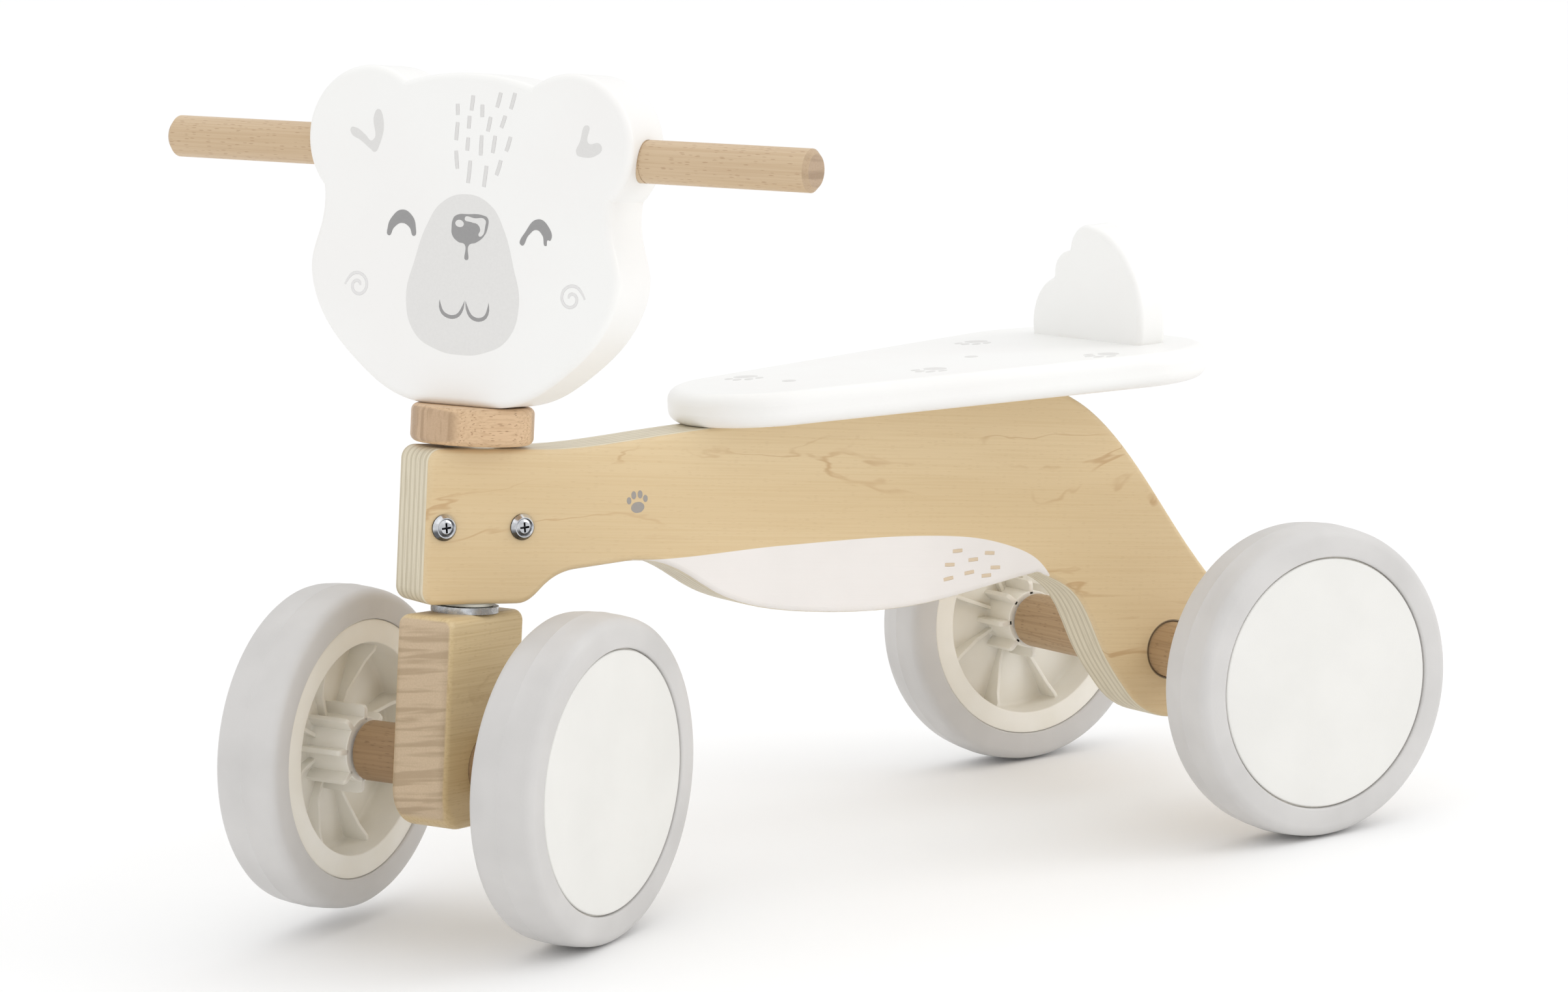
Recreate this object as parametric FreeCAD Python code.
"""Wooden four-wheeled balance bike with an animal-head handlebar board.

Millimetres, +Z up, the bike faces -Y and the rider's left is +X. The origin is on the
floor under the middle of the bike. The front assembly is turned to the left at rest.
"""
import FreeCAD
import Part
import math
import os

Vec = FreeCAD.Vector

# ---- driving sizes ---------------------------------------------------------------
wheelbase = 367.0            # front axle to rear axle, along the floor
rake_deg = 7.0               # steering axis leans back by this much
rest_turn_deg = 30.0         # front assembly turned to the rider's left at rest

tyre_r = 70.0                # largest radius of a tyre
tyre_w = 30.0                # width of a tyre
tyre_shoulder_r = 4.0
tyre_crown = 1.2             # drop from the middle of the tread to the shoulder
tyre_bore_r = 56.3
front_half_track = 62.5      # steering axis to the middle of a front wheel
rear_half_track = 113.5      # plank's middle plane to the middle of a rear wheel

plank_t = 27.0               # thickness of the plywood plank
plank_edge_r = 2.5
block_front = 27.0           # plank's front edge, ahead of the steering axis
block_back = 22.5            # plank's front block, behind the steering axis
block_low = 68.7             # block's lower edge, up the steering axis from the axle
block_high = 134.5           # block's upper edge, up the steering axis from the axle
block_corner_r = 6.0
block_end_in = 4.0           # where the block's lower edge starts to curve up to the throat
neck_past_collar = 2.0       # where the plank's top leaves the block, behind the collar
seat_line_ahead = 5.0        # straight top edge starts this far ahead of the seat
throat_behind = 34.0         # throat under the neck, behind the block and below the seat line
throat_below = 52.5
throat_l = 24.0
throat_bend_behind = 17.5
throat_bend_below = 57.5
throat_slope = 0.04
seat_up = 133.0              # plank's straight top edge, above the rear axle

# Spots on the plank's free curves: ahead of the rear axle, and below the seat line.
shoulder_ahead = 84.0
rump_spots = ((31.5, 23.0), (-8.0, 78.0))
shin_spots = ((38.5, 129.0), (54.5, 98.0))
shin_start_spot = (70.0, 88.2)
shin_start_slope = 0.5
crotch_rise = 0.7
belly_end_spot = (75.0, 87.0)
belly_end_slope = 0.08
belly_spots = ((140.0, 92.6), (193.0, 88.0), (243.0, 72.5))

leg_end_r = 35.0             # rounded end of the rear leg
leg_back_deg = 40.0          # the round end runs from here, under the axle, to the front
leg_low_deg = -60.0
leg_front_deg = -145.0
leg_end_rise = 2.5           # its centre lies this far above the rear axle
leg_end_behind = 3.5         # and this far behind it

seat_t = 15.0
seat_front_y = 119.0         # front tip of the seat, behind the front axle
seat_nose_r = 42.0
seat_past_axle = 4.0         # seat's rear edge, behind the rear axle
seat_half_w = 74.0
seat_corner_r = 45.0
seat_edge_r = 5.5

tail_t = 15.0
tail_h = 52.0
tail_half_w = 42.5
tail_in_seat = 36.0          # tail's front face, ahead of the seat's rear edge
tail_edge_r = 2.5
tail_seam_r = 3.0            # where two scallops meet

# Tail's outline as arcs, each through a middle point: shares of its half width and height.
tail_outline = (
    (0.98, 0.0), (0.96, 0.52), (0.22, 1.0),
    (-0.11, 0.95), (-0.22, 0.77),
    (-0.45, 0.71), (-0.53, 0.53),
    (-0.87, 0.35), (-0.98, 0.0),
)

head_t = 30.0
head_half_w = 76.0           # across the cheeks, from the steering axis
head_h = 139.0               # chin to the top between the ears
ear_r = 30.5
ear_out = 49.0               # ear centre, sideways from the steering axis
ear_drop = 29.0              # ear centre, below the top of the head
head_edge_r = 3.5
chin_half = 14.0             # flat under the chin, on the collar
cheek_spots = ((0.66, 0.105), (0.93, 0.265), (1.0, 0.4))     # shares of half width and height
notch_flare = 0.15           # slope of the cheek where it meets the ear
ear_notch_deg = -44.0        # each ear's arc, from the cheek to the crown
ear_crown_deg = 126.0

bar_r = 9.0                  # handlebar dowel
bar_l = 315.0
bar_drop = 33.0              # bar axis below the top of the head
bar_end_chamfer = 2.0
bar_groove_w = 0.8           # shallow ring turned where the bar leaves the ears
bar_groove_depth = 0.2

collar_r = 26.0
collar_h = 16.0
collar_edge_r = 3.0

fork_t = 27.0
fork_front = 32.0            # fork block, ahead of the steering axis
fork_back = 28.0
fork_high = 64.5             # fork block's top, above the axle
fork_low = 26.0              # fork block's bottom, below the axle
fork_low_corner_r = 18.0
fork_high_corner_r = 5.0
fork_edge_r = 4.0

beam_r = 13.0                # wooden axle beams
beam_edge_r = 2.5
rod_r = 4.0                  # steel axle rods
washer_t = 1.0
washer_wall = 5.0            # washer around its rod
push_nut_t = 2.6
push_nut_wall = 4.0
push_nut_lip = 1.2           # ring left at the push nut's outer end

stud_r = 5.0                 # steel steering stud
stud_low = 17.0              # its lower end, above the front axle
stud_past_nut = 12.0         # its upper end, above the head's barrel nut
head_nut_in = 38.0           # barrel nut above the bottom of the head
head_nut_l = 18.0
fork_nut_up = 38.0           # barrel nut above the front axle
fork_nut_l = 22.0
barrel_nut_wall = 1.0        # barrel nut's radius, past the stud's
bush_wall = 3.0              # steering bushes, around the stud
bush_l = 24.0
bush_flange_w = 4.0          # flange, past the bush
bush_flange_t = 1.2
thrust_washer_w = 9.4        # thrust washer's ring, around the stud

clamp_bolt_out = 18.5        # clamp bolts, ahead of and behind the steering axis
clamp_bolt_up = 101.5        # and above the front axle
clamp_bolt_r = 2.5
clamp_bolt_in = 5.0          # gap from the far face to the bolt's tip
clamp_sleeve_wall = 1.5
clamp_sleeve_gap = 10.0      # gap from the far face to the sleeve's mouth
clamp_head_r = 5.6
clamp_head_t = 2.4
clamp_rim_t = 0.7            # straight rim of the flanged head
clamp_top_r = 4.3            # where its cone ends
clamp_pan_r = 3.5            # domed middle, inside a narrow groove
clamp_groove_t = 0.5
clamp_cross_w = 4.4
clamp_cross_depth = 1.5

seat_dowel_r = 4.0
seat_dowel_in_seat = 9.0
seat_dowel_in_plank = 22.0
seat_dowels_behind = (21.0, 81.0, 141.0)     # behind the seat's front tip
tail_dowel_r = 3.0
tail_dowel_out = 22.0
tail_dowel_in_seat = 9.0
tail_dowel_in_tail = 14.0

lock_screw_r = 2.2           # countersunk wood screws
lock_screw_l = 24.0
lock_screw_point = 4.0
lock_screw_tip_r = 0.4
lock_screw_head_r = 4.4
lock_screw_head_t = 2.6
lock_screw_sink = 1.5        # head below the surface of the wood
lock_cross_w = 3.2
lock_cross_depth = 1.4
cross_blade_t = 0.9

rim_face = -14.0             # hub's inner ring, along the axle from the wheel's middle
rim_ring_t = 2.5
rim_mouth_r = 46.0
rim_wall = 2.4
web_in = 5.0                 # web plate between these two stations
web_out = 7.5
boss_in = -15.0
boss_out = 8.0
boss_r = 14.0
fin_r = 19.0                 # fins stand out of the boss to this radius
fin_count = 8
fin_t = 2.4
fin_corner_r = 2.0
rib_count = 8
rib_t = 1.8
rib_low = 4.0                # rib's height over the web, beside the boss
rib_foot = 4.0               # length of that low part, past the fins
rib_high = 8.0               # rib's top below the ring, at the mouth
rib_shoulder = 3.0           # length of that high part
wheel_bush_wall = 2.5
cap_t = 1.9
cap_sink = 0.6               # cap face below the tyre's outer face
cap_gap = 0.7                # ring gap between cap and tyre
cap_edge = 0.5
cap_skirt_l = 4.0
cap_skirt_t = 1.6

glue_gap = 0.05              # radial gap of glued and pressed fits
run_gap = 0.06               # radial gap of running fits
face_gap = 0.3               # gap between flat faces that turn past each other
beam_bore_gap = 0.3          # radial gap of a beam in its wooden block
hole_end_gap = 0.5           # free depth past the end of a piece in a blind hole
past = 1.0                   # how far a cutting tool runs past the surface it cuts

# ---- values worked out from the driving sizes --------------------------------------
rake = math.radians(rake_deg)
turn = math.radians(rest_turn_deg)
axle_lean_y = math.cos(rake) * math.sin(turn)    # front axle's direction, along Y
axle_lean_z = math.sin(rake) * math.sin(turn)    # and its fall towards the left wheel
tread_half = tyre_w / 2 - tyre_shoulder_r
crown_r = (tread_half**2 + tyre_crown**2) / (2 * tyre_crown)


def tyre_reach(lean):
    """Distance from a wheel's centre to its furthest point, `lean` being the axle's sine."""
    upright = math.sqrt(1 - lean**2)
    if crown_r * lean < tread_half:
        return (tyre_r - crown_r) * upright + crown_r
    shoulder_centre_r = tyre_r - tyre_crown - tyre_shoulder_r
    return shoulder_centre_r * upright + tread_half * lean + tyre_shoulder_r


front_axle_z = front_half_track * axle_lean_z + tyre_reach(axle_lean_z)
rear_axle_z = tyre_r
seat_z = rear_axle_z + seat_up
seat_rear_y = wheelbase + seat_past_axle
tail_front_y = seat_rear_y - tail_in_seat
front_end_y = -front_half_track * axle_lean_y - tyre_reach(axle_lean_y)
middle_y = (front_end_y + wheelbase + tyre_r) / 2

frame_place = FreeCAD.Placement(Vec(0, -middle_y, 0), FreeCAD.Rotation())
head_angle_place = FreeCAD.Placement(
    Vec(0, -middle_y, front_axle_z), FreeCAD.Rotation(Vec(1, 0, 0), -rake_deg)
)
steer_place = head_angle_place.multiply(
    FreeCAD.Placement(Vec(), FreeCAD.Rotation(Vec(0, 0, 1), rest_turn_deg))
)

# Thrust stack between fork block and plank, then collar and head, up the steering axis.
thrust_washer_t = block_low - bush_flange_t - face_gap - fork_high
collar_low = block_high + bush_flange_t + face_gap
head_low = collar_low + collar_h
head_high = head_low + head_h
bar_up = head_high - bar_drop
head_nut_up = head_low + head_nut_in
stud_high = head_nut_up + stud_past_nut
bush_r = stud_r + bush_wall
barrel_nut_r = stud_r + barrel_nut_wall
clamp_sleeve_r = clamp_bolt_r + clamp_sleeve_wall
bolt_end = clamp_bolt_in - plank_t / 2           # clamp bolt's tip and sleeve's mouth, along X
sleeve_end = plank_t / 2 - clamp_sleeve_gap
seat_dowel_ys = [seat_front_y + behind for behind in seat_dowels_behind]

# The handlebar leaves the head board through its ears.
bar_over_ear = ear_drop - bar_drop
ear_reach = ear_out + math.sqrt(ear_r**2 - max(0.0, abs(bar_over_ear) - bar_r) ** 2)

# Wheel stations along its axle, outward from the wheel's middle plane.
wheel_bush_r = rod_r + wheel_bush_wall
washer_r = rod_r + washer_wall
push_nut_r = rod_r + push_nut_wall
cap_r = tyre_bore_r - cap_gap
beam_end = boss_in - face_gap - washer_t
rod_end = boss_out + face_gap + washer_t + push_nut_t

# ---- small helpers ------------------------------------------------------------------


def rod_along(axis, radius, start, end, centre=Vec()):
    """Round bar along a unit vector, between two stations measured from `centre`."""
    return Part.makeCylinder(radius, end - start, centre + axis * start, axis)


def tube_along(axis, outer, inner, start, end, centre=Vec()):
    bar = rod_along(axis, outer, start, end, centre)
    return bar.cut(rod_along(axis, inner, start - past, end + past, centre))


def prism(edges, direction):
    """Solid swept from a closed loop of edges."""
    return Part.Face(Part.Wire(Part.__sortEdges__(edges))).extrude(direction)


def line(a, b):
    return Part.makeLine(a, b)


def arc(a, middle, b):
    return Part.Arc(a, middle, b).toShape()


def smooth(points, start_way, end_way):
    """Smooth curve through points, leaving and arriving along the given directions."""
    curve = Part.BSplineCurve()
    curve.interpolate(Points=points, InitialTangent=start_way, FinalTangent=end_way)
    return curve.toShape()


def lathe(outline):
    """Turn a closed list of (along, radius) points about the X axis."""
    wire = Part.makePolygon([Vec(x, 0, r) for x, r in outline + outline[:1]])
    return Part.Face(wire).revolve(Vec(), X, 360)


def rim_edges(shape, normal, offsets):
    """Edges that lie wholly in one of the planes at the given offsets along `normal`."""
    found = []
    for edge in shape.Edges:
        lows = [vertex.Point.dot(normal) for vertex in edge.Vertexes]
        middle = edge.valueAt((edge.FirstParameter + edge.LastParameter) / 2).dot(normal)
        for offset in offsets:
            if all(abs(value - offset) < 1e-4 for value in lows + [middle]):
                found.append(edge)
    return found


def ease(shape, radius, normal, offsets):
    return shape.makeFillet(radius, rim_edges(shape, normal, offsets))


def fuse_all(shapes):
    whole = shapes[0]
    for shape in shapes[1:]:
        whole = whole.fuse(shape)
    return whole.removeSplitter()


parts = {}


def keep(name, shape, place):
    """Store one node, moved from its building frame to the bike's frame."""
    shape = shape.copy()
    shape.Placement = place.multiply(shape.Placement)
    parts[name] = shape


X = Vec(1, 0, 0)
Y = Vec(0, 1, 0)
Z = Vec(0, 0, 1)


# ---- frame plank ----------------------------------------------------------------------

def on_head_angle(back, up):
    """Point in the plank's plane, given behind and up the steering axis from the axle."""
    y = back * math.cos(rake) + up * math.sin(rake)
    z = front_axle_z - back * math.sin(rake) + up * math.cos(rake)
    return Vec(0, y, z)


def corner_arc(radius, corner, way_in, way_out):
    """Quarter arc that rounds a square corner, given the unit ways along its two sides."""
    near = radius * (1 - math.sqrt(0.5))
    start = corner + way_in * radius
    end = corner + way_out * radius
    return arc(start, corner + way_in * near + way_out * near, end)


def on_leg_end(degrees):
    """Point on the rounded end of the rear leg; 0 points backwards and 90 up."""
    angle = math.radians(degrees)
    centre = Vec(0, wheelbase + leg_end_behind, rear_axle_z + leg_end_rise)
    return centre + Vec(0, math.cos(angle), math.sin(angle)) * leg_end_r


def leg_end_way(degrees):
    """Way the outline runs at that point, with the leg's end taken clockwise."""
    angle = math.radians(degrees)
    return Vec(0, math.sin(angle), -math.cos(angle))


def from_rear(ahead, below):
    """Point ahead of the rear axle and below the seat line."""
    return Vec(0, wheelbase - ahead, seat_z - below)


def plank_outline():
    """Outline of the plank in its middle plane, Y behind the front axle and Z up."""
    head_back = on_head_angle(1, 0) - on_head_angle(0, 0)
    head_up = on_head_angle(0, 1) - on_head_angle(0, 0)
    low_corner = on_head_angle(-block_front, block_low)
    high_corner = on_head_angle(-block_front, block_high)
    block_end = on_head_angle(block_back - block_end_in, block_low)
    neck_top = on_head_angle(collar_r + neck_past_collar, block_high)
    seat_start = Vec(0, seat_front_y - seat_line_ahead, seat_z)
    shoulder = from_rear(shoulder_ahead, 0)
    throat = Vec(0, block_back + throat_behind, seat_z - throat_below)
    throat_end = throat + Y * throat_l
    throat_bend = Vec(0, block_back + throat_bend_behind, seat_z - throat_bend_below)
    belly_end = from_rear(*belly_end_spot)
    shin_start = from_rear(*shin_start_spot)
    rump = [from_rear(*spot) for spot in rump_spots]
    shin = [from_rear(*spot) for spot in shin_spots]
    belly = [from_rear(*spot) for spot in belly_spots]
    crotch = (belly_end + shin_start) / 2 + Z * crotch_rise
    return [
        corner_arc(block_corner_r, low_corner, head_back, head_up),
        line(low_corner + head_up * block_corner_r, high_corner - head_up * block_corner_r),
        corner_arc(block_corner_r, high_corner, head_up * -1, head_back),
        line(high_corner + head_back * block_corner_r, neck_top),
        smooth([neck_top, seat_start], head_back, Y),
        line(seat_start, shoulder),
        smooth([shoulder, *rump, on_leg_end(leg_back_deg)], Y, leg_end_way(leg_back_deg)),
        arc(on_leg_end(leg_back_deg), on_leg_end(leg_low_deg), on_leg_end(leg_front_deg)),
        smooth(
            [on_leg_end(leg_front_deg), *shin, shin_start],
            leg_end_way(leg_front_deg),
            Vec(0, -1, shin_start_slope),
        ),
        arc(shin_start, crotch, belly_end),
        smooth(
            [belly_end, *belly, throat_end],
            Vec(0, -1, -belly_end_slope),
            Vec(0, -1, throat_slope),
        ),
        line(throat_end, throat),
        smooth([throat, throat_bend, block_end], Y * -1, head_back * -1),
        line(block_end, low_corner + head_back * block_corner_r),
    ]


def frame_plank():
    plank = prism(plank_outline(), X * plank_t)
    plank.translate(X * -plank_t / 2)
    plank = ease(plank, plank_edge_r, X, (-plank_t / 2, plank_t / 2))
    up = on_head_angle(0, 1) - on_head_angle(0, 0)
    axle = on_head_angle(0, 0)
    low = block_low - past
    high = block_high + past
    tools = [rod_along(up, bush_r + glue_gap, low, high, axle)]
    for side in (-1, 1):
        centre = on_head_angle(side * clamp_bolt_out, clamp_bolt_up)
        tools.append(rod_along(X, clamp_bolt_r + glue_gap, -plank_t, plank_t, centre))
        tools.append(rod_along(X, clamp_sleeve_r + glue_gap, -plank_t, sleeve_end, centre))
    for y in seat_dowel_ys:
        depth = seat_dowel_in_plank + hole_end_gap
        tools.append(rod_along(Z, seat_dowel_r + glue_gap, -depth, past, Vec(0, y, seat_z)))
    rear_axle = Vec(0, wheelbase, rear_axle_z)
    tools.append(rod_along(X, beam_r + beam_bore_gap, -plank_t, plank_t, rear_axle))
    leg_bottom = rear_axle + Z * (leg_end_rise - leg_end_r)
    tools.append(lock_screw_room(leg_bottom))
    return plank.cut(tools)


# ---- fasteners ------------------------------------------------------------------------


def lock_screw(foot, grow=0.0):
    """Countersunk wood screw that points up from `foot`; a grown one is its hole."""
    r = lock_screw_r + grow
    head_r = lock_screw_head_r + grow
    shank = rod_along(Z, r, 0, lock_screw_l, foot)
    tip = foot + Z * lock_screw_l
    point = Part.makeCone(r, lock_screw_tip_r, lock_screw_point, tip, Z)
    head = Part.makeCone(head_r, r, lock_screw_head_t, foot, Z)
    screw = fuse_all([shank, point, head])
    if grow:
        return screw.fuse(rod_along(Z, head_r, -lock_screw_sink - leg_end_r / 4, 0, foot))
    return cross_recess(screw, foot, Z, lock_cross_w, lock_cross_depth)


def lock_screw_room(foot):
    return lock_screw(foot + Z * lock_screw_sink, glue_gap)


def cross_recess(screw, face_point, inward, width, depth):
    """Cut a cross-shaped drive into a screw head, from a point on its face."""
    blades = []
    for spin in (0, 90):
        corner = Vec(-width / 2, -cross_blade_t / 2, -past)
        blade = Part.makeBox(width, cross_blade_t, depth + past, corner)
        blade.rotate(Vec(), Z, spin)
        blades.append(blade)
    cross = blades[0].fuse(blades[1])
    cross.Placement = FreeCAD.Placement(face_point, FreeCAD.Rotation(Z, inward))
    return screw.cut(cross)


def clamp_head(side):
    """Flanged conical head on one face of the plank: a cone, a groove and a domed middle."""
    groove_foot = clamp_head_t - clamp_groove_t
    outline = [
        (0, 0.0),
        (0, clamp_head_r),
        (clamp_rim_t, clamp_head_r),
        (clamp_head_t, clamp_top_r),
        (clamp_head_t, (clamp_top_r + clamp_pan_r) / 2),
        (groove_foot, clamp_pan_r),
        (clamp_head_t, clamp_pan_r * math.sqrt(0.5)),
        (clamp_head_t, 0.0),
    ]
    head = lathe(outline)
    if side < 0:
        head.rotate(Vec(), Z, 180)
    head.translate(X * side * plank_t / 2)
    face = X * side * (plank_t / 2 + clamp_head_t)
    return cross_recess(head, face, X * -side, clamp_cross_w, clamp_cross_depth)


def clamp_set():
    """The two clamp bolts and the two sleeve nuts they screw into."""
    bolts = []
    nuts = []
    for side in (-1, 1):
        centre = on_head_angle(side * clamp_bolt_out, clamp_bolt_up)
        bolt = clamp_head(1).fuse(rod_along(X, clamp_bolt_r, bolt_end, plank_t / 2))
        bolt.translate(centre)
        bolts.append(bolt.removeSplitter())
        nut = clamp_head(-1).fuse(rod_along(X, clamp_sleeve_r, -plank_t / 2, sleeve_end))
        bore = rod_along(X, clamp_bolt_r + glue_gap, bolt_end - hole_end_gap, sleeve_end + past)
        nut = nut.cut(bore)
        nut.translate(centre)
        nuts.append(nut.removeSplitter())
    return bolts, nuts


# ---- seat and tail ----------------------------------------------------------------------


def seat_board():
    """Pear-shaped board: a nose circle and two rear corner circles joined by tangents."""
    nose = Vec(0, seat_front_y + seat_nose_r, 0)
    corner = Vec(seat_half_w - seat_corner_r, seat_rear_y - seat_corner_r, 0)
    span = corner - nose
    tilt = math.asin((seat_corner_r - seat_nose_r) / span.Length)
    heading = math.atan2(span.y, span.x) - math.pi / 2 - tilt
    out = Vec(math.cos(heading), math.sin(heading), 0)
    mirror_out = Vec(-out.x, out.y, 0)
    mirror_corner = Vec(-corner.x, corner.y, 0)
    half = math.sqrt(0.5)
    edges = [
        arc(nose + mirror_out * seat_nose_r, nose - Y * seat_nose_r, nose + out * seat_nose_r),
        line(nose + out * seat_nose_r, corner + out * seat_corner_r),
        arc(
            corner + out * seat_corner_r,
            corner + Vec(half, half, 0) * seat_corner_r,
            corner + Y * seat_corner_r,
        ),
        line(corner + Y * seat_corner_r, mirror_corner + Y * seat_corner_r),
        arc(
            mirror_corner + Y * seat_corner_r,
            mirror_corner + Vec(-half, half, 0) * seat_corner_r,
            mirror_corner + mirror_out * seat_corner_r,
        ),
        line(mirror_corner + mirror_out * seat_corner_r, nose + mirror_out * seat_nose_r),
    ]
    board = prism(edges, Z * seat_t)
    board = ease(board, seat_edge_r, Z, (0, seat_t))
    board.translate(Z * seat_z)
    holes = []
    for y in seat_dowel_ys:
        foot = Vec(0, y, seat_z)
        depth = seat_dowel_in_seat + hole_end_gap
        holes.append(rod_along(Z, seat_dowel_r + glue_gap, -past, depth, foot))
    for x in (-tail_dowel_out, tail_dowel_out):
        foot = Vec(x, tail_front_y + tail_t / 2, seat_z + seat_t)
        depth = tail_dowel_in_seat + hole_end_gap
        holes.append(rod_along(Z, tail_dowel_r + glue_gap, -depth, past, foot))
    return board.cut(holes)


def tail_board():
    """Standing board with three scallops down its right side and one sweep on its left."""

    def at(spot):
        return Vec(spot[0] * tail_half_w, 0, spot[1] * tail_h)

    foot_left, foot_right = tail_outline[0], tail_outline[-1]
    edges = [line(at(foot_right), at(foot_left))]
    for number in range(0, len(tail_outline) - 2, 2):
        edges.append(arc(*[at(spot) for spot in tail_outline[number : number + 3]]))
    board = prism(edges, Y * tail_t)
    seams = []
    for edge in board.Edges:
        box = edge.BoundBox
        if box.YLength > tail_t / 2 and box.ZMin > tail_edge_r:
            seams.append(edge)
    board = board.makeFillet(tail_seam_r, seams)
    rims = [e for e in rim_edges(board, Y, (0, tail_t)) if e.BoundBox.ZMax > tail_edge_r]
    board = board.makeFillet(tail_edge_r, rims)
    board.translate(Vec(0, tail_front_y, seat_z + seat_t))
    holes = []
    for x in (-tail_dowel_out, tail_dowel_out):
        foot = Vec(x, tail_front_y + tail_t / 2, seat_z + seat_t)
        depth = tail_dowel_in_tail + hole_end_gap
        holes.append(rod_along(Z, tail_dowel_r + glue_gap, -past, depth, foot))
    return board.cut(holes)


# ---- head board, handlebar and collar -----------------------------------------------------

def head_outline():
    """Animal head seen from the front: X across, Z up the steering axis."""
    notch_angle = math.radians(ear_notch_deg)
    crown_angle = math.radians(ear_crown_deg)

    def ear_point(side, angle):
        across = ear_out + ear_r * math.cos(angle)
        return Vec(side * across, 0, head_high - ear_drop + ear_r * math.sin(angle))

    edges = [line(Vec(-chin_half, 0, head_low), Vec(chin_half, 0, head_low))]
    ear_side = (notch_angle + crown_angle) / 2
    for side in (1, -1):
        cheek = [Vec(side * chin_half, 0, head_low)]
        for across, up in cheek_spots:
            cheek.append(Vec(side * head_half_w * across, 0, head_low + head_h * up))
        cheek.append(ear_point(side, notch_angle))
        edges.append(smooth(cheek, X * side, Vec(side * notch_flare, 0, 1)))
        ear = [ear_point(side, angle) for angle in (notch_angle, ear_side, crown_angle)]
        edges.append(arc(*ear))
    edges.append(
        arc(ear_point(1, crown_angle), Vec(0, 0, head_high), ear_point(-1, crown_angle))
    )
    return edges


def head_board():
    board = prism(head_outline(), Y * head_t)
    board.translate(Y * -head_t / 2)
    board = ease(board, head_edge_r, Y, (-head_t / 2, head_t / 2))
    bar_room = rod_along(X, bar_r + glue_gap, -bar_l, bar_l, Z * bar_up)
    stud_room = rod_along(Z, stud_r + glue_gap, head_low - past, stud_high + hole_end_gap)
    nut_centre = Z * head_nut_up
    nut_start = -head_nut_l / 2 - hole_end_gap
    nut_room = rod_along(Y, barrel_nut_r + glue_gap, nut_start, head_t, nut_centre)
    screw_room = handlebar_screw(glue_gap)
    return board.cut([bar_room, stud_room, nut_room, screw_room])


def handlebar_screw(grow=0.0):
    """Wood screw from the back of the head board into the handlebar."""
    screw = lock_screw(Vec(), grow)
    turn_forward = FreeCAD.Rotation(X, 90)
    back_face = Vec(0, head_t / 2 - lock_screw_sink, bar_up)
    screw.Placement = FreeCAD.Placement(back_face, turn_forward)
    return screw


def handlebar():
    end = bar_l / 2
    cut = bar_end_chamfer
    groove_r = bar_r - bar_groove_depth
    groove_end = ear_reach + bar_groove_w
    half = [
        (ear_reach, bar_r),
        (ear_reach, groove_r),
        (groove_end, groove_r),
        (groove_end, bar_r),
        (end - cut, bar_r),
        (end, bar_r - cut),
        (end, 0.0),
    ]
    bar = lathe([(-along, radius) for along, radius in reversed(half)] + half)
    bar.translate(Z * bar_up)
    return bar.cut(handlebar_screw(glue_gap))


def steering_collar():
    ring = Part.makeCylinder(collar_r, collar_h)
    ring = ease(ring, collar_edge_r, Z, (0, collar_h))
    ring.translate(Z * collar_low)
    return ring.cut(rod_along(Z, stud_r + glue_gap, collar_low - past, head_low + past))


def barrel_nut(up, length):
    nut = rod_along(Y, barrel_nut_r, -length / 2, length / 2, Z * up)
    return nut.cut(rod_along(Z, stud_r + glue_gap, up - length, up + length))


# ---- fork block and axles ---------------------------------------------------------------------


def fork_outline():
    """Side view of the fork block: Y behind the steering axis, Z above the axle."""
    corners = [
        (-fork_front, -fork_low, 1, 1, fork_low_corner_r),
        (fork_back, -fork_low, -1, 1, fork_low_corner_r),
        (fork_back, fork_high, -1, -1, fork_high_corner_r),
        (-fork_front, fork_high, 1, -1, fork_high_corner_r),
    ]
    starts = []
    edges = []
    for number, (y, z, inward_y, inward_z, radius) in enumerate(corners):
        along_y = Vec(0, y + inward_y * radius, z)
        along_z = Vec(0, y, z + inward_z * radius)
        near = 1 - math.sqrt(0.5)
        middle = Vec(0, y + inward_y * radius * near, z + inward_z * radius * near)
        first, last = (along_z, along_y) if number % 2 == 0 else (along_y, along_z)
        edges.append(arc(first, middle, last))
        starts.append((first, last))
    for number in range(4):
        edges.append(line(starts[number][1], starts[(number + 1) % 4][0]))
    return edges


def fork_block():
    block = prism(fork_outline(), X * fork_t)
    block.translate(X * -fork_t / 2)
    block = ease(block, fork_edge_r, X, (-fork_t / 2, fork_t / 2))
    beam_room = rod_along(X, beam_r + beam_bore_gap, -fork_t, fork_t)
    stud_room = rod_along(Z, stud_r + glue_gap, stud_low - hole_end_gap, fork_high + past)
    nut_start = -fork_nut_l / 2 - hole_end_gap
    nut_end = fork_back + past
    nut_room = rod_along(Y, barrel_nut_r + glue_gap, nut_start, nut_end, Z * fork_nut_up)
    return block.cut([beam_room, stud_room, nut_room, lock_screw_room(Z * -fork_low)])


def axle_beam(half_track, screw_foot):
    """Wooden dowel between two wheels, drilled through for its steel rod."""
    end = half_track + beam_end
    beam = Part.makeCylinder(beam_r, 2 * end, X * -end, X)
    beam = ease(beam, beam_edge_r, X, (-end, end))
    return beam.cut([rod_along(X, rod_r + glue_gap, -end - past, end + past), screw_foot])


def axle_rod(half_track, lock_room):
    end = half_track + rod_end
    return rod_along(X, rod_r, -end, end).cut(lock_room)


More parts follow.
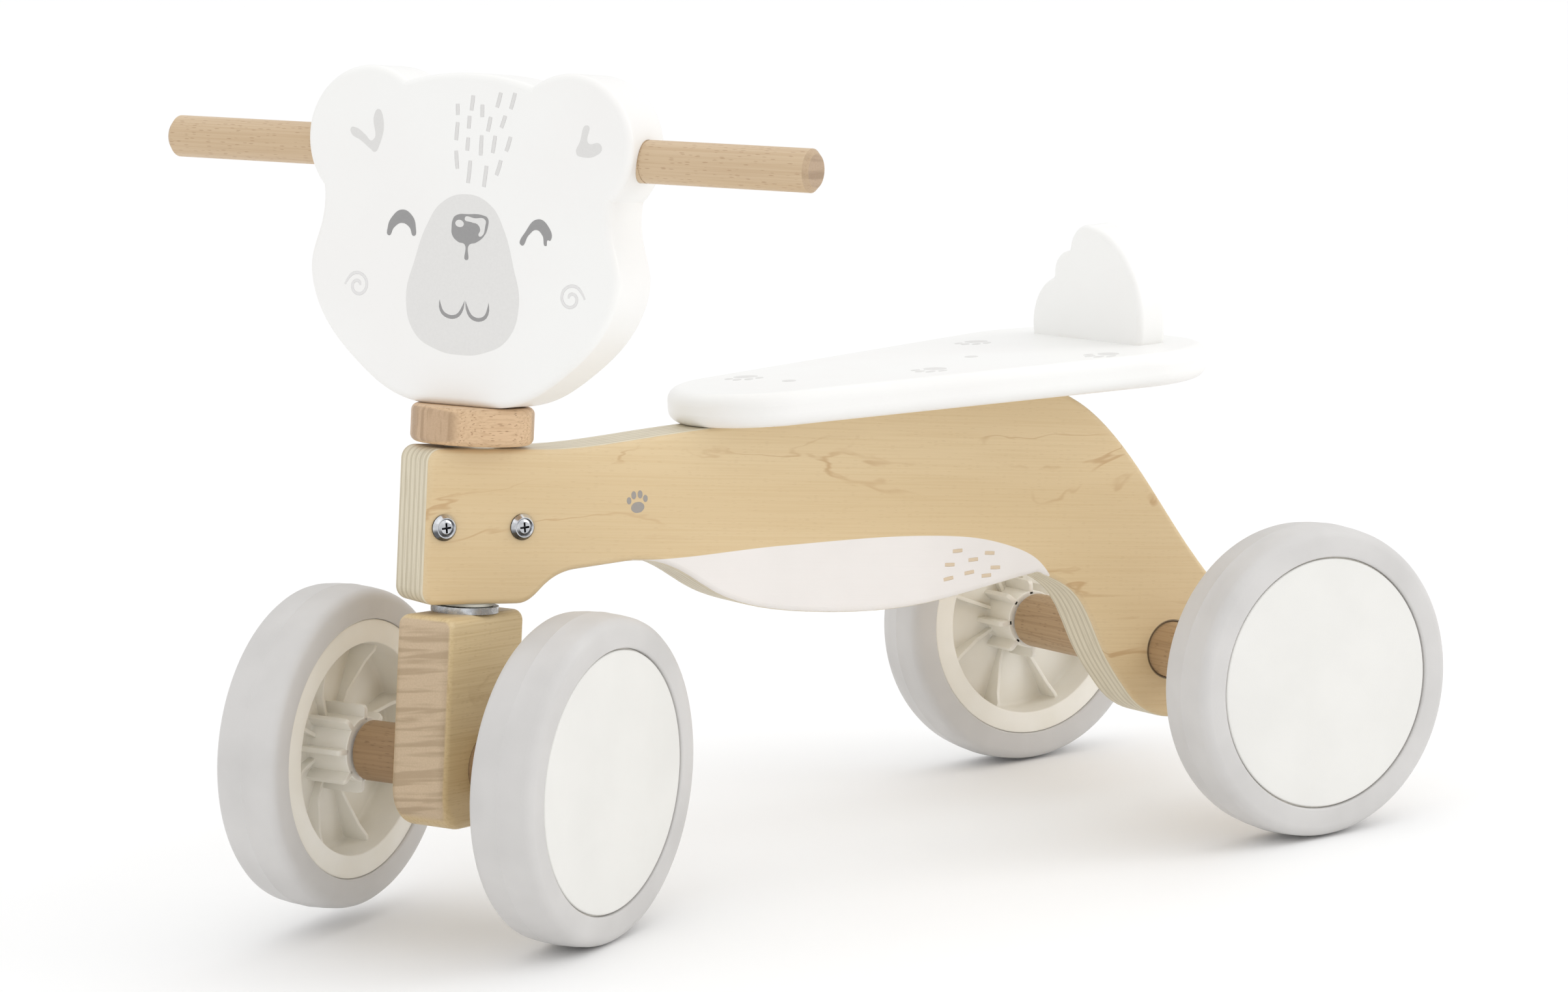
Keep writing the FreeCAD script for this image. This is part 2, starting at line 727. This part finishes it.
def axle_rings(half_track):
    """Four washers and two push-on nuts of one axle."""
    washers = []
    nuts = []
    for side in (-1, 1):
        way = X * side
        inner = half_track + beam_end
        outer = half_track + boss_out + face_gap
        for start in (inner, outer):
            washers.append(tube_along(way, washer_r, rod_r + glue_gap, start, start + washer_t))
        nut_start = outer + washer_t
        lip_r = rod_r + push_nut_lip
        nut = Part.makeCone(push_nut_r, lip_r, push_nut_t, way * nut_start, way)
        hole_end = nut_start + push_nut_t + past
        nuts.append(nut.cut(rod_along(way, rod_r + glue_gap, outer, hole_end)))
    return washers, nuts


# ---- wheels ------------------------------------------------------------------------------------

def tyre():
    side = tyre_w / 2
    flat = tread_half
    shoulder_r = tyre_r - tyre_crown
    bend = tyre_shoulder_r * math.sqrt(0.5)
    centre_r = shoulder_r - tyre_shoulder_r

    def p(x, r):
        return Vec(x, 0, r)

    edges = [
        line(p(-side, tyre_bore_r), p(-side, centre_r)),
        arc(p(-side, centre_r), p(-flat - bend, centre_r + bend), p(-flat, shoulder_r)),
        arc(p(-flat, shoulder_r), p(0, tyre_r), p(flat, shoulder_r)),
        arc(p(flat, shoulder_r), p(flat + bend, centre_r + bend), p(side, centre_r)),
        line(p(side, centre_r), p(side, tyre_bore_r)),
        line(p(side, tyre_bore_r), p(-side, tyre_bore_r)),
    ]
    face = Part.Face(Part.Wire(Part.__sortEdges__(edges)))
    return face.revolve(Vec(), X, 360)


def rim():
    """Moulded hub: tyre barrel, inner ring, dished wall, web, finned boss and ribs."""
    barrel_end = tyre_w / 2 - cap_sink - cap_t
    ring_back = rim_face + rim_ring_t
    wall_r = rim_mouth_r + rim_wall
    barrel_in = tyre_bore_r - rim_wall
    outline = [
        (rim_face, rim_mouth_r),
        (rim_face, tyre_bore_r),
        (barrel_end, tyre_bore_r),
        (barrel_end, barrel_in),
        (ring_back, barrel_in),
        (ring_back, wall_r),
        (web_out, wall_r),
        (web_out, boss_r),
        (boss_out, boss_r),
        (boss_out, wheel_bush_r),
        (boss_in, wheel_bush_r),
        (boss_in, boss_r),
        (web_in, boss_r),
        (web_in, rim_mouth_r),
    ]
    pieces = [lathe(outline)]
    for number in range(fin_count):
        fin_l = web_in - boss_in + past
        fin_root = boss_r - past
        corner = Vec(boss_in, -fin_t / 2, fin_root)
        fin = Part.makeBox(fin_l, fin_t, fin_r - fin_root, corner)
        tip = []
        for edge in fin.Edges:
            middle = edge.CenterOfMass
            if middle.x < boss_in + cap_edge and middle.z > fin_r - cap_edge:
                tip.append(edge)
        fin = fin.makeFillet(fin_corner_r, tip)
        fin.rotate(Vec(), X, 360 / fin_count * number)
        pieces.append(fin)
    for number in range(rib_count):
        low = web_in - rib_low
        high = rim_face + rib_high
        profile = [
            Vec(web_in + past, 0, boss_r - past),
            Vec(low, 0, boss_r - past),
            Vec(low, 0, fin_r + rib_foot),
            Vec(high, 0, rim_mouth_r - rib_shoulder),
            Vec(high, 0, rim_mouth_r + past),
            Vec(web_in + past, 0, rim_mouth_r + past),
        ]
        wire = Part.makePolygon(profile + profile[:1])
        rib = Part.Face(wire).extrude(Y * rib_t)
        rib.translate(Y * -rib_t / 2)
        rib.rotate(Vec(), X, 360 / rib_count * (number + 0.5))
        pieces.append(rib)
    return fuse_all(pieces)


def cap():
    out = tyre_w / 2 - cap_sink
    back = out - cap_t
    skirt_out = tyre_bore_r - rim_wall - glue_gap
    skirt_in = skirt_out - cap_skirt_t
    outline = [
        (back - cap_skirt_l, skirt_in),
        (back - cap_skirt_l, skirt_out),
        (back, skirt_out),
        (back, cap_r),
        (out - cap_edge, cap_r),
        (out, cap_r - cap_edge),
        (out, 0.0),
        (back, 0.0),
        (back, skirt_in),
    ]
    return lathe(outline)


def wheel_bush():
    return tube_along(X, wheel_bush_r - glue_gap, rod_r + run_gap, boss_in, boss_out)


# ---- everything in its place -------------------------------------------------------------------
leg_screw_foot = Vec(0, 0, leg_end_rise - leg_end_r + lock_screw_sink)
fork_screw_foot = Vec(0, 0, -fork_low + lock_screw_sink)
rear_axle_place = frame_place.multiply(
    FreeCAD.Placement(Vec(0, wheelbase, rear_axle_z), FreeCAD.Rotation())
)

keep("frame_plank", frame_plank(), frame_place)
keep("seat_board", seat_board(), frame_place)
keep("tail_board", tail_board(), frame_place)
seat_dowels = []
for dowel_y in seat_dowel_ys:
    seat_dowels.append(
        rod_along(Z, seat_dowel_r, -seat_dowel_in_plank, seat_dowel_in_seat, Vec(0, dowel_y, seat_z))
    )
keep("seat_dowels", Part.makeCompound(seat_dowels), frame_place)
tail_dowels = []
for dowel_x in (-tail_dowel_out, tail_dowel_out):
    dowel_foot = Vec(dowel_x, tail_front_y + tail_t / 2, seat_z + seat_t)
    tail_dowels.append(
        rod_along(Z, tail_dowel_r, -tail_dowel_in_seat, tail_dowel_in_tail, dowel_foot)
    )
keep("tail_dowels", Part.makeCompound(tail_dowels), frame_place)
clamp_bolts, clamp_nuts = clamp_set()
keep("clamp_bolts", Part.makeCompound(clamp_bolts), frame_place)
keep("clamp_sleeve_nuts", Part.makeCompound(clamp_nuts), frame_place)
for bush_name, flange_low, sleeve_start, sleeve_stop in (
    ("upper_steering_bush", block_high, block_high - bush_l, block_high),
    ("lower_steering_bush", block_low - bush_flange_t, block_low, block_low + bush_l),
):
    flange = rod_along(Z, bush_r + bush_flange_w, flange_low, flange_low + bush_flange_t)
    sleeve = rod_along(Z, bush_r, sleeve_start, sleeve_stop)
    bush = fuse_all([flange, sleeve]).cut(rod_along(Z, stud_r + run_gap, 0, 2 * block_high))
    keep(bush_name, bush, head_angle_place)

keep("head_board", head_board(), steer_place)
keep("handlebar", handlebar(), steer_place)
keep("handlebar_screw", handlebar_screw(), steer_place)
keep("steering_collar", steering_collar(), steer_place)
keep("steering_stud", rod_along(Z, stud_r, stud_low, stud_high), steer_place)
keep("head_barrel_nut", barrel_nut(head_nut_up, head_nut_l), steer_place)
keep("fork_barrel_nut", barrel_nut(fork_nut_up, fork_nut_l), steer_place)
thrust_washer_high = fork_high + thrust_washer_t
keep(
    "thrust_washer",
    tube_along(Z, stud_r + thrust_washer_w, stud_r + glue_gap, fork_high, thrust_washer_high),
    steer_place,
)
keep("fork_block", fork_block(), steer_place)

for axle_name, half_track, place, screw_foot in (
    ("front", front_half_track, steer_place, fork_screw_foot),
    ("rear", rear_half_track, rear_axle_place, leg_screw_foot),
):
    screw_room = lock_screw(screw_foot, glue_gap)
    keep(axle_name + "_axle_beam", axle_beam(half_track, screw_room), place)
    keep(axle_name + "_axle_rod", axle_rod(half_track, screw_room), place)
    keep(axle_name + "_beam_screw", lock_screw(screw_foot), place)
    ring_washers, ring_nuts = axle_rings(half_track)
    keep(axle_name + "_axle_washers", Part.makeCompound(ring_washers), place)
    keep(axle_name + "_push_nuts", Part.makeCompound(ring_nuts), place)
    for side_name, spin in (("left", 0), ("right", 180)):
        across = half_track if side_name == "left" else -half_track
        wheel_place = place.multiply(
            FreeCAD.Placement(Vec(across, 0, 0), FreeCAD.Rotation(Z, spin))
        )
        stem = axle_name + "_" + side_name + "_"
        keep(stem + "tyre", tyre(), wheel_place)
        keep(stem + "rim", rim(), wheel_place)
        keep(stem + "cap", cap(), wheel_place)
        keep(stem + "bush", wheel_bush(), wheel_place)

os.makedirs("parts", exist_ok=True)
for name, shape in parts.items():
    shape.exportStep("parts/" + name + ".step")
print(len(parts), "nodes written")
